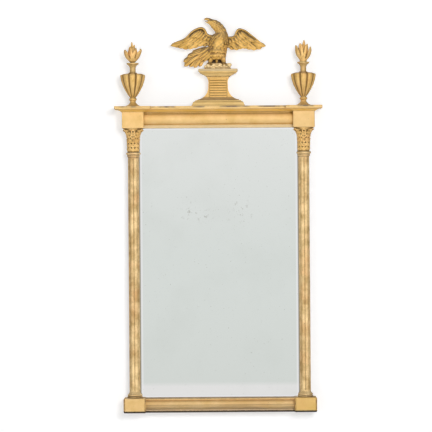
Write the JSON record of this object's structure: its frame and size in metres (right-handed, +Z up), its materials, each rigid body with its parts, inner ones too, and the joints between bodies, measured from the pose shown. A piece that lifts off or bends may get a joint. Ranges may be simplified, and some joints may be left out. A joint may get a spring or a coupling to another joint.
{
  "type": "wall mirror",
  "caption": "Giltwood pier mirror: reeded half columns under a breaking cornice crowned by flaming urns and a spread eagle on a pedestal; hangs by rings on its back.",
  "frame": {"origin": "on the wall plane, at the middle of the lower edge of the bottom rail", "axes": "+Z up, +Y into the wall, the mirror looks along -Y, +X to the viewer's right"},
  "size_m": [0.726, 0.106, 1.3792],
  "materials": {
    "gilt_plain": "gold leaf over red bole and gesso, rubbed along the edges",
    "gilt_carved": "gold leaf over red bole and gesso, dark in the hollows, rubbed on the high parts",
    "carcase_wood": "unpainted softwood, darkened with age",
    "backboard_wood": "planed softwood board, darkened with age",
    "dowel_wood": "bare turned wood",
    "silvered_plate": "old silvered plate with a little foxing",
    "forged_iron": "forged iron, dull and slightly rusted"
  },
  "bodies": {
    "frame": {"backboard_left": "backboard_wood", "backboard_middle": "backboard_wood", "backboard_nails": "forged_iron", "backboard_right": "backboard_wood", "bottom_rail": "carcase_wood", "capital_left": "gilt_carved", "capital_right": "gilt_carved", "column_base_left": "gilt_carved", "column_base_right": "gilt_carved", "column_shaft_left": "gilt_carved", "column_shaft_right": "gilt_carved", "cornice_centre": "gilt_plain", "cornice_front_left": "gilt_plain", "cornice_front_right": "gilt_plain", "cornice_inner_return_left": "gilt_plain", "cornice_inner_return_right": "gilt_plain", "cornice_outer_return_left": "gilt_plain", "cornice_outer_return_right": "gilt_plain", "eagle_body": "gilt_carved", "eagle_left_wing": "gilt_carved", "eagle_legs": "gilt_carved", "eagle_mound": "gilt_carved", "eagle_pin": "forged_iron", "eagle_right_wing": "gilt_carved", "eagle_tail": "gilt_carved", "eagle_wing_dowels": "dowel_wood", "frieze_moulding": "gilt_plain", "glazing_blocks": "carcase_wood", "hanger_eye_left": "forged_iron", "hanger_eye_right": "forged_iron", "left_stile": "carcase_wood", "lower_block_left": "gilt_plain", "lower_block_right": "gilt_plain", "mirror_plate": "silvered_plate", "neck_ring_left": "gilt_carved", "neck_ring_right": "gilt_carved", "pedestal_cap": "gilt_plain", "pedestal_die": "gilt_plain", "pedestal_dowel": "dowel_wood", "pedestal_plinth": "gilt_plain", "right_stile": "carcase_wood", "sill_moulding": "gilt_plain", "top_board": "carcase_wood", "top_rail": "carcase_wood", "upper_block_left": "gilt_plain", "upper_block_right": "gilt_plain", "urn_bowl_left": "gilt_carved", "urn_bowl_right": "gilt_carved", "urn_flame_left": "gilt_carved", "urn_flame_right": "gilt_carved", "urn_foot_left": "gilt_carved", "urn_foot_right": "gilt_carved", "urn_neck_left": "gilt_carved", "urn_neck_right": "gilt_carved"},
    "left_ring": {"hanging_ring_left": "forged_iron"},
    "right_ring": {"hanging_ring_right": "forged_iron"}
  },
  "joints": [
    {"name": "left_ring_swing", "type": "hinge", "parent": "frame", "child": "left_ring", "pos_m": [-0.23, -0.008, 1.024], "axis": [1, 0, 0], "range_deg": [-10, 190]},
    {"name": "right_ring_swing", "type": "hinge", "parent": "frame", "child": "right_ring", "pos_m": [0.23, -0.008, 1.024], "axis": [1, 0, 0], "range_deg": [-10, 190]}
  ]
}
